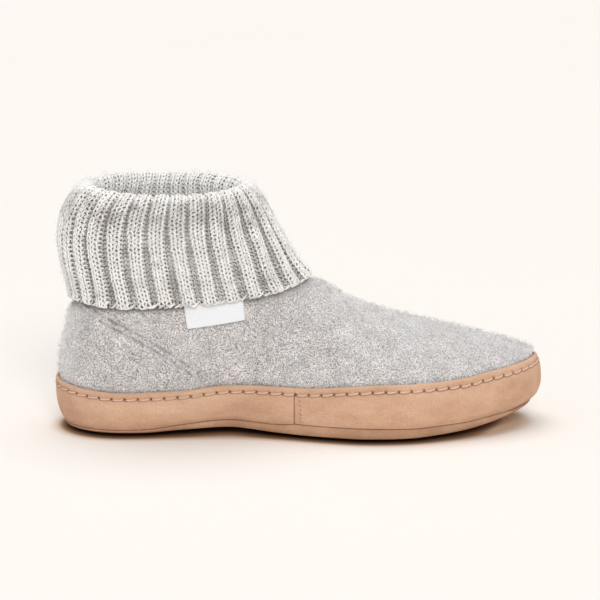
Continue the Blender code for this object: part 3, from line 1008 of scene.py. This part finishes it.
def felt_face(turn, level):
    """Outer face of the felt with its relief, its outward directions and its painted shade."""
    plain, normal = upper_point(turn, level), upper_normal(turn, level)
    seam, groove = heel_seam(plain)
    free = clamp((level - RAND) / FELT_FREE)
    height = (lumps(plain, FELT_LUMPS) + fold_height(plain, np.sin(turn) >= 0) + seam) * free
    above = plain[..., 2] - rand_top(plain[..., 0])
    crease = bell(above, CREASE_WIDTH)
    height += toe_puff(turn, level, above) - CREASE_DEPTH * crease
    return plain + normal * height[..., None], normal, felt_shade(plain, groove, crease)


def add_felt(surface, fibre):
    """Upper with its wall: up the outer face, over the collar edge and down the inside."""
    outer = np.concatenate([np.linspace(*row, endpoint=False) for row in FELT_ROWS] + [[COLLAR]])
    face, normal, dark = felt_face(*np.meshgrid(turns(FELT_COLUMNS), outer))
    inner = np.linspace(COLLAR, FELT_INSIDE_LOW, FELT_INSIDE_ROWS)
    turn, level = np.meshgrid(turns(FELT_COLUMNS), inner)
    back = offset_point(turn, level, -FELT_WALL)
    back += upper_normal(turn, level) * lumps(back, FELT_INSIDE_LUMPS)[..., None]
    points = np.concatenate([face, back])
    # The outer face's painted shade goes in as the shade value; the inside has none
    values = {
        "shade": np.concatenate([dark, np.zeros(turn.shape)]),
        "calm": smooth(CALM_ROWS, "calm", points[..., 0]),
    }
    quads = grid_quads(len(points), FELT_COLUMNS, True, True)
    add_piece("felt_upper", points, [quads], surface, "wool_felt", "upper", **values)
    seen = (outer >= RAND) & (outer <= HEM)
    add_fibres("felt_fibres", face[seen], normal[seen], FELT_FIBRES, fibre, "wool_felt")


def rand_thickness(share):
    return smooth(RAND_ROWS, "thickness", share)


def stitch_share(turn):
    """Share of the rand's height where the stitch line runs."""
    x = upper_point(turn, RAND)[..., 0]
    return 1 - STITCH_DROP / (rand_top(x) - sole_line(x))


def rand_point(turn, share, distance):
    """Point off the lower felt by this distance, level with the outsole's rim at the bottom."""
    base = upper_point(turn, share)
    low = clamp(1 - share / RAND_ROWS[1].share)[..., None]
    direction = unit(mix(upper_normal(turn, share), outline_normal(turn), low))
    points = base + direction * np.asarray(distance)[..., None]
    points[..., 2] += (sole_line(points[..., 0]) - sole_line(base[..., 0])) * low[..., 0]
    return points, direction


def seam_gap(front):
    """Half the clearance at the upright seam, towards the strip's own side."""
    return CLEARANCE / 2 if front else -CLEARANCE / 2


class StitchLine:
    """Stitch line of one rand strip, measured along its outer face from seam to seam."""

    def __init__(self, front):
        seam = turn_at(RAND_SEAM_X + seam_gap(front), RAND)
        first, last = (-seam, seam) if front else (seam, 2 * np.pi - seam)
        self.turn = np.linspace(first, last, STITCH_SAMPLES)
        share = stitch_share(self.turn)
        points, _ = rand_point(self.turn, share, RAND_GAP + rand_thickness(share))
        self.reach = reach_of(points)
        self.count = int(round(self.reach[-1] / STITCH_PITCH))
        self.pitch = self.reach[-1] / self.count

    def turn_for(self, reach):
        return np.interp(reach, self.reach, self.turn)

    def reach_for(self, turn):
        return np.interp(turn, self.turn, self.reach)


def thread_drop(t):
    """How far a stitch lies below its line, from its low start to its high end."""
    return STITCH_SLANT * (1 - t) + STITCH_BOW * np.sin(np.pi * t)


def needle_dips(edge, below):
    """Row of needle dips beside the seam, from the distance to it and the drop under the stitch line."""
    step = np.abs((below / NEEDLE_PITCH) % 1 - 0.5) * NEEDLE_PITCH
    return bell(np.hypot(edge - NEEDLE_ROW, step), NEEDLE_RADIUS) * (below > NEEDLE_START)


def hollow_places(points):
    """Depth of the places that are pressed in, and their painted shade (at the heel a brown stain)."""
    depth, shade = np.zeros((2, *points.shape[:-1]))
    for hollow in RAND_HOLLOWS:
        beside, over = points[..., 0] - hollow.x, points[..., 2] - hollow.z
        spot = bell(beside, hollow.length) * bell(over, hollow.height) * (points[..., 1] < 0)
        depth += hollow.depth * spot
        shade += hollow.shade * spot
    return depth, shade


def rand_relief(line, turn, share, points, front):
    """Height over the plain strip from stitching, lip, seam and hollows, and how much painted shade each
    point takes: in holes and under the thread, and in the hollows (with the heel stain).
    """
    height = rand_top(points[..., 0]) - sole_line(points[..., 0])
    below = (stitch_share(turn) - share) * height
    reach = line.reach_for(turn)
    beside = np.abs((reach / line.pitch + 0.5) % 1 - 0.5) * line.pitch
    # Spots of the stitch holes: dented, with painted shade in them
    stitch_shade = bell(np.hypot(beside, below - STITCH_SLANT / 2), HOLE_RADIUS)
    under = below - thread_drop(1 - reach / line.pitch % 1) - STITCH_RADIUS
    relief = -GROOVE_DEPTH * bell(below, GROOVE_WIDTH) - HOLE_DEPTH * stitch_shade
    relief += LIP_HEIGHT * bell(below + LIP_ABOVE, LIP_WIDTH)
    edge = np.minimum(reach, line.reach[-1] - reach)
    relief -= SEAM_DIP * bell(edge, SEAM_DIP_WIDTH) * clamp(below)
    if front:
        # Needle dips: dented, with painted shade in them
        needle = needle_dips(edge, below)
        relief -= NEEDLE_DEPTH * needle
        stitch_shade = np.maximum(stitch_shade, NEEDLE_SHADE * needle)
    depth, shade = hollow_places(points)
    relief += lumps(points, RAND_LUMPS) - depth
    # Painted shade of holes and needle dips, and painted shadow along the thread's underside
    dark = np.maximum(clamp(stitch_shade * HOLE_GAIN - HOLE_CUT), THREAD_SHADE * bell(under, THREAD_LINE))
    return relief, dark, shade


def add_rand(name, front, surface):
    """Suede strip: outer face with its stitch groove, rolled top edge, hidden inner face."""
    line = StitchLine(front)
    columns = int(line.reach[-1] / RAND_COLUMN)
    low = np.linspace(0, RAND_FINE, RAND_LOW_ROWS, endpoint=False)
    high = np.linspace(RAND_FINE, 1.0, RAND_HIGH_ROWS)
    rows = np.concatenate([low, high, np.linspace(RAND_INSIDE_TOP, 0.0, RAND_INSIDE_ROWS)])
    seam = turn_at(RAND_SEAM_X + seam_gap(front) * (rows < SEAM_TOP), rows)[:, None]
    middle, span = (0.0, seam) if front else (np.pi, np.pi - seam)
    turn = middle + span * np.linspace(-1, 1, columns)
    share = np.broadcast_to(rows[:, None], turn.shape)
    is_outer = (np.arange(len(rows)) < RAND_LOW_ROWS + RAND_HIGH_ROWS)[:, None]
    flat, _ = rand_point(turn, share, RAND_GAP)
    relief, stitch_shade, shade = rand_relief(line, turn, share, flat, front)
    round_top = ROUND_DEPTH * clamp((share - ROUND_START) / (1 - ROUND_START)) ** 2
    thickness = np.maximum(rand_thickness(share) + relief - round_top, RAND_THINNEST)
    points, _ = rand_point(turn, share, RAND_GAP + np.where(is_outer, thickness, 0.0))
    # Painted shade of the stitch holes and under the thread, and painted shade of the hollows with the
    # stain at the heel
    values = {
        "edge": EDGE_PALE * is_outer * clamp((share - EDGE_START) / (1 - EDGE_START)),
        "stitch_shade": stitch_shade * is_outer,
        "shade": clamp(shade),
    }
    faces = capped_faces(len(rows), columns)
    solid = name.removesuffix("_suede")
    add_piece(name, points, faces, surface, "tan_suede", solid, **values)


def add_stitches(surface):
    """One thread between each pair of neighbouring holes along both strips, rising from its start to its
    end.
    """
    t = np.linspace(0, 1, STITCH_POINTS)
    arch = np.sin(np.pi * t)
    stand = mix(STITCH_SINK, STITCH_STAND, clamp(arch * STITCH_PLUNGE)) - GROOVE_DEPTH
    paths, guides = [], []
    for front in (True, False):
        line = StitchLine(front)
        start = np.arange(line.count)[:, None] * line.pitch
        turn = line.turn_for(start + mix(STITCH_END, line.pitch - STITCH_END, 1 - t))
        share = stitch_share(turn)
        height = rand_top(upper_point(turn, RAND)[..., 0]) - sole_line(upper_point(turn, SOLE)[..., 0])
        off = RAND_GAP + rand_thickness(share) + stand
        made, direction = rand_point(turn, share - thread_drop(t) / height, off)
        paths.append(made)
        guides.append(direction)
    radii = STITCH_RADIUS * clamp(STITCH_TIP + arch)
    paths, guides = np.concatenate(paths), np.concatenate(guides)
    points, faces = tubes(paths, guides, radii, STITCH_SIDES, closed=False)
    add_piece("rand_stitches", points, faces, surface, "tan_suede")


def slab(ring_of, steps, top, bottom):
    """Points and faces of a slab: rings round its edge, and rows across its top and its underside."""
    turn = turns(SOLE_COLUMNS)
    rings = np.stack([ring_of(turn, step) for step in steps])
    half = SOLE_COLUMNS // 2
    share = np.linspace(0, 1, SOLE_STRIPS + 1)[None, :, None]
    blocks, faces = [rings.reshape(-1, 3)], [grid_quads(len(steps), SOLE_COLUMNS, False, True)]
    for ring, height in ((rings[0], top), (rings[-1], bottom)):
        one = ring[: half + 1][:, None]
        other = np.roll(ring, -1, axis=0)[::-1][: half + 1][:, None]
        sheet = mix(one, other, share)
        sheet[:, 1:-1, 2] = height(sheet[:, 1:-1])
        faces.append(grid_quads(half + 1, SOLE_STRIPS + 1, False, False) + sum(map(len, blocks)))
        blocks.append(sheet.reshape(-1, 3))
    return np.concatenate(blocks), faces


def add_outsole(surface):
    """Thin suede sole with a rounded edge, rubbed by wear."""
    def ring_of(turn, step):
        ring = outline_point(turn, RAND_REACH - smooth(OUTSOLE_EDGE, "inset", step))
        share, drop = smooth(OUTSOLE_EDGE, "share", step), smooth(OUTSOLE_EDGE, "drop", step)
        ring[:, 2] = mix(outsole_bottom(ring[:, 0]), outsole_top(ring[:, 0]), share) - drop
        return ring

    def top(points):
        return outsole_top(points[..., 0])

    def bottom(points):
        return outsole_bottom(points[..., 0]) - SOLE_BELLY

    points, faces = slab(ring_of, np.linspace(0, OUTSOLE_EDGE[-1].step, OUTSOLE_RINGS), top, bottom)
    values = {key: np.zeros(len(points)) for key in ("edge", "stitch_shade", "shade")}
    add_piece("outsole_suede", points, faces, surface, "sole_suede", "outsole", weld=True, **values)


def add_insole(surface):
    """Felt footbed with a soft rim and the faint dip of heel and ball."""
    def ring_of(turn, step):
        ring = outline_point(turn, -FELT_WALL - INSOLE_ROUND * step**2)
        ring[:, 2] = sole_line(ring[:, 0]) + INSOLE_THICKNESS * (1 - abs(step) * step) / 2
        return ring

    def top(points):
        dip = sum(bell(points[..., 0] - row.x, row.length) for row in INSOLE_DIPS)
        uneven = lumps(points, INSOLE_LUMPS) - DIP_DEPTH * dip * bell(points[..., 1] - DIP_Y, DIP_WIDTH)
        return sole_line(points[..., 0]) + INSOLE_THICKNESS / 2 + np.minimum(uneven, 0)

    def bottom(points):
        return sole_line(points[..., 0])

    points, faces = slab(ring_of, np.linspace(-1, 1, INSOLE_RINGS), top, bottom)
    values = {key: np.zeros(len(points)) for key in ("calm", "shade")}
    add_piece("insole_felt", points, faces, surface, "insole_felt", "insole", weld=True, **values)


def even_ring(ring, columns, slide):
    """The closed ring with its points spaced evenly along it, then slid to the heel on both sides."""
    loop = np.vstack([ring, ring[:1]])
    reach = reach_of(loop)
    wanted = np.arange(columns) * reach[-1] / columns
    wanted += slide * np.tanh(SLIDE_SPREAD * np.sin(turns(columns)))
    return np.stack([np.interp(wanted, reach, loop[:, axis]) for axis in range(3)], axis=1)


def cuff_sheet():
    """Middle of the knit strip in even rows from the felt collar to the hem, and its normals."""
    turn = turns(RING_SAMPLES)
    steps = np.linspace(0, CUFF_ROWS[-1].step, SHEET_DRAFT)
    level, offset, slide = (smooth(CUFF_ROWS, key, steps) for key in ("level", "offset", "slide"))
    draft = np.array([
        even_ring(offset_point(turn, level[i], offset[i]), SHEET_COLUMNS, slide[i])
        for i in range(SHEET_DRAFT)
    ])
    reach = reach_of(draft)
    at = np.interp(np.linspace(0, reach[-1], SHEET_ROWS), reach, np.arange(SHEET_DRAFT))
    low = np.minimum(at.astype(int), SHEET_DRAFT - 2)
    grid = mix(draft[low], draft[low + 1], (at - low)[:, None, None])
    around = np.roll(grid, -1, axis=1) - np.roll(grid, 1, axis=1)
    return grid, unit(np.cross(around, np.gradient(grid, axis=0)))


def on_sheet(grid, u, v):
    """Value of a sheet's grid at a share u round it and a share v along the strip."""
    column, row = (u % 1.0) * SHEET_COLUMNS, clamp(v) * (SHEET_ROWS - 1)
    left, low = column.astype(int) % SHEET_COLUMNS, np.minimum(row.astype(int), SHEET_ROWS - 2)
    right, t, s = (left + 1) % SHEET_COLUMNS, (column % 1.0)[..., None], (row - low)[..., None]
    here = mix(grid[low, left], grid[low, right], t)
    above = mix(grid[low + 1, left], grid[low + 1, right], t)
    return mix(here, above, s)


def rib_place(wale, across, v):
    """Share round the cuff and rib height across a wale: knit pairs stand out, purl pairs lie low."""
    share = smooth(RIB_ROWS, "share", v)
    rib, within = np.divmod(wale, WALES_PER_RIB)
    knit = within < 2
    width = np.where(knit, share, 1 - share) / 2
    off = np.where(knit, within - 1 + across, within - 3 + across) * width
    relief = np.where(knit, KNIT_RELIEF, -PURL_RELIEF) * np.cos(np.pi / 2 * off / width)
    spot = np.stack([rib * WANDER_BY_RIB, v * WANDER_ALONG, np.zeros_like(v)], axis=-1)
    sway = RIB_WANDER * noise(spot, size=1.0, seed=43)
    u = (rib + RIB_PHASE + np.where(knit, off, 0.5 + off) + sway) / RIBS
    return u, relief * smooth(RIB_ROWS, "relief", v)


def yarn_paths(grid, normals):
    """Centre line of every course's yarn, its guides, radii and tone: a ring of loops each."""
    rng = np.random.default_rng(YARN_SEED)

    def stray(spread):
        return rng.normal(0, spread, (COURSES, WALES, 1))

    counts = (COURSES, WALES, len(LOOP))
    course, wale, point = np.meshgrid(*map(np.arange, counts), indexing="ij")
    across, along, depth = np.array(LOOP).T[:, point]
    waves = (row.height * np.sin(wale * 2 * np.pi / WALES * row.turns + row.phase) for row in HEM_WAVES)
    wave = sum(waves) * hem_share(course)
    v_step = 1.0 / (COURSES + SPARE_COURSE)
    v = (course + FIRST_COURSE + along + stray(STRAY_ALONG) + wave) * v_step
    u, relief = rib_place(wale, across + stray(STRAY_ACROSS), v)
    knit = np.where(wale % WALES_PER_RIB < 2, 1.0, -1.0)
    before = np.roll(knit, 1, axis=1)
    turned = np.where((point == 0) & (knit != before), 0.0, knit)
    height = relief + LOOP_DEPTH * depth * turned + stray(STRAY_DEPTH)
    up = on_sheet(normals, u, v)
    paths = on_sheet(grid, u, v) + up * height[..., None]
    tone = YARN_TONE + YARN_CLOUDS * noise(paths, CLOUD_SIZE, seed=42) + stray(STRAY_TONE)
    # Painted light inside the cuff, painted shade under the crest of the fold and in the purl wales
    tone += INSIDE_PAINTED_LIGHT * (v < FOLD_SHARE) - CREST_SHADE * bell(v - CREST_SHARE, CREST_WIDTH)
    tone -= PURL_SHADE * (knit < 0)
    radii = YARN_RADIUS * np.where(knit > 0, 1.0, PURL_YARN)
    shape = (COURSES, WALES * len(LOOP))
    paths, guides = paths.reshape(*shape, 3), unit(up).reshape(*shape, 3)
    return paths, guides, radii.reshape(shape), clamp(tone).reshape(shape)


def hem_share(course):
    """Courses near the hem may wander a little; those inside keep straight."""
    half = COURSES / 2
    return clamp((course - half) / half)


def add_cuff(yarn, core, fibre):
    """Rib knit of real loops in three bands, over a thin core that closes the gaps between them."""
    grid, normals = cuff_sheet()
    paths, guides, radii, tone = yarn_paths(grid, normals)
    thirds = np.linspace(0, COURSES, 4).astype(int)
    for name, first, last in zip(("knit_inside", "knit_fold", "knit_hem"), thirds, thirds[1:]):
        band = slice(first, last)
        points, faces = tubes(paths[band], guides[band], radii[band], YARN_SIDES, closed=True)
        tones = np.repeat(tone[band].ravel(), YARN_SIDES)
        add_piece(name, points, faces, yarn, "rib_knit", "cuff", tone=tones)
    add_core(grid, normals, core)
    add_hem_links(grid, normals, yarn)
    ribs = np.cos((np.arange(SHEET_COLUMNS) / SHEET_COLUMNS * RIBS - RIB_PHASE) * 2 * np.pi)
    outside = slice(int(SHEET_ROWS * HAIRY_FROM), SHEET_ROWS)
    stand = (ribs * KNIT_RELIEF + 2 * LOOP_DEPTH)[None, :, None]
    face = (grid + normals * stand)[outside]
    add_fibres("knit_fibres", face, normals[outside], KNIT_FIBRES, fibre, "rib_knit")


def add_hem_links(grid, normals, surface):
    """Cast-off edge: one slanting link for every wale along the hem."""
    wale, share = np.meshgrid(np.arange(WALES), np.linspace(0, 1, LINK_POINTS), indexing="ij")
    stray = np.random.default_rng(LINK_SEED).normal(0, LINK_STRAY, (2, WALES, 1))
    u = (wale + LINK_REACH * share + stray[0]) / WALES
    v = 1 - LINK_RISE * (1 - share) * (1 + stray[1])
    up = on_sheet(normals, u, v)
    arch = np.sin(np.pi * share)
    paths = on_sheet(grid, u, v) + up * (LINK_STAND * arch)[..., None]
    radii = LINK_RADIUS * clamp(LINK_TIP + arch)
    points, faces = tubes(paths, unit(up), radii, YARN_SIDES, closed=False)
    tone = LINK_TONE + LINK_CLOUDS * noise(paths, CLOUD_SIZE, seed=44)
    # Painted shade over the purl wales, as on the loops
    tone -= PURL_SHADE * (wale % WALES_PER_RIB >= 2)
    tone = np.repeat(tone.ravel(), YARN_SIDES)
    add_piece("knit_edge", points, faces, surface, "rib_knit", "cuff", tone=tone)


def add_core(grid, normals, surface):
    """Thin wall behind the loops that follows the ribs, coloured as painted shade between them."""
    rows = slice(1, SHEET_ROWS - 1, CORE_ROW_STEP)
    columns = slice(0, SHEET_COLUMNS, CORE_COLUMN_STEP)
    middle, out = grid[rows, columns], normals[rows, columns]
    share = (np.arange(SHEET_COLUMNS)[columns] / SHEET_COLUMNS * RIBS - RIB_PHASE + 0.5) % 1 - 0.5
    v = np.linspace(0, 1, SHEET_ROWS)[rows][:, None]
    knit = np.clip(np.cos(np.pi / 2 * np.clip(2 * share / smooth(RIB_ROWS, "share", v), -2, 2)), -1, 1)
    stand = np.where(knit > 0, KNIT_RELIEF, PURL_RELIEF) * knit
    relief = stand * smooth(RIB_ROWS, "relief", v) - CORE_DEPTH
    front, back = middle + out * relief[..., None], middle + out * (relief - CORE_WALL)[..., None]
    points = np.concatenate([front[::-1], back])
    quads = grid_quads(len(points), points.shape[1], True, True)
    # Painted shade darkest under the purl wales, lighter at the ribs; painted light inside the cuff
    tone = clamp(0.5 + 0.5 * knit) * mix(CORE_PAINTED_SHADE, 1.0, v < FOLD_SHARE)
    tone = np.concatenate([tone[::-1], tone])
    add_piece("knit_core", points, [quads], surface, "rib_knit", "cuff", tone=tone)


def add_label(surface):
    """Bare folded tape, a little puffed at its lower fold and curled off the felt at the front."""
    share, up = np.meshgrid(np.linspace(0, 1, LABEL_COLUMNS), np.linspace(0, 1, LABEL_ROWS))
    level = mix(LABEL_LOW_LEVEL, LABEL_HIGH_LEVEL, up) + LABEL_RISE * share
    turn = turn_at(mix(LABEL_BACK_X, LABEL_FRONT_X, share) + LABEL_LEAN * (1 - up), level)
    curl = LABEL_CURL * share**3 * (1 - up) + LABEL_BOW * np.sin(np.pi * share)
    inner = offset_point(turn, level, LABEL_GAP + curl)
    puff = LABEL_PUFF * bell(up - LABEL_FOLD, LABEL_FOLD_WIDTH)
    outer = offset_point(turn, level, LABEL_GAP + curl + LABEL_THICKNESS + puff)
    points = np.concatenate([outer, inner[::-1]])
    faces = capped_faces(2 * LABEL_ROWS, LABEL_COLUMNS)
    add_piece("label_tape", points, faces, surface, "woven_tag", "label_tag", weld=True)


def add_floor(surface):
    """Floor so wide that it also fills the background."""
    mesh = bpy.data.meshes.new("floor")
    ways = ((-1, -1), (1, -1), (1, 1), (-1, 1))
    corners = [(x * FLOOR_HALF, y * FLOOR_HALF, -FLOOR_DROP) for x, y in ways]
    mesh.from_pydata(corners, [], [(0, 1, 2, 3)])
    mesh.materials.append(surface)
    floor = put("floor", mesh)


def add_light(scene):
    """Broad lamps and a soft sky."""
    for lamp in LAMPS:
        light = bpy.data.lights.new(lamp.name, "SUN")
        light.energy = lamp.strength
        light.angle = np.radians(lamp.angle)
        sun = put(lamp.name, light)
        sun.rotation_euler = Vector(lamp.travel).to_track_quat("-Z", "Y").to_euler()
    scene.world = bpy.data.worlds.new("studio")
    scene.world.use_nodes = True
    sky = scene.world.node_tree.nodes["Background"]
    sky.inputs["Color"].default_value = (*SKY_COLOUR, 1.0)
    sky.inputs["Strength"].default_value = SKY_STRENGTH
    scene.view_settings.view_transform = "Standard"
    scene.view_settings.look = "None"


def add_camera(scene):
    lens = bpy.data.cameras.new("camera")
    lens.sensor_fit = "HORIZONTAL"
    lens.angle = np.radians(CAMERA_FIELD)
    camera = put("camera", lens)
    camera.location = CAMERA_AT
    camera.rotation_euler = (np.radians(90 - CAMERA_DOWN), 0.0, 0.0)
    scene.camera = camera


def build():
    add_floor(floor_surface("pale_floor"))
    add_light(bpy.context.scene)
    add_camera(bpy.context.scene)
    suede = suede_surface("suede", *SUEDE)
    felt = felt_surface("felt", *FELT, FELT_CALM, FELT_SHEEN)
    add_felt(felt, fibre_surface("felt_hair", *FELT_HAIR))
    add_rand("rand_front_suede", True, suede)
    add_rand("rand_back_suede", False, suede)
    add_stitches(thread_surface("thread", *THREAD))
    add_outsole(suede_surface("sole_suede", *SOLE_SUEDE))
    add_insole(felt_surface("footbed", *FOOTBED, FOOTBED[1], FOOTBED_SHEEN))
    # The core's yarn colours stand for painted shade
    yarn, core = knit_surface("yarn", *YARN), knit_surface("yarn_core_painted_shade", *CORE_SHADE_COLOURS)
    add_cuff(yarn, core, fibre_surface("knit_hair", *KNIT_HAIR))
    add_label(tape_surface("tape", *TAPE))


build()
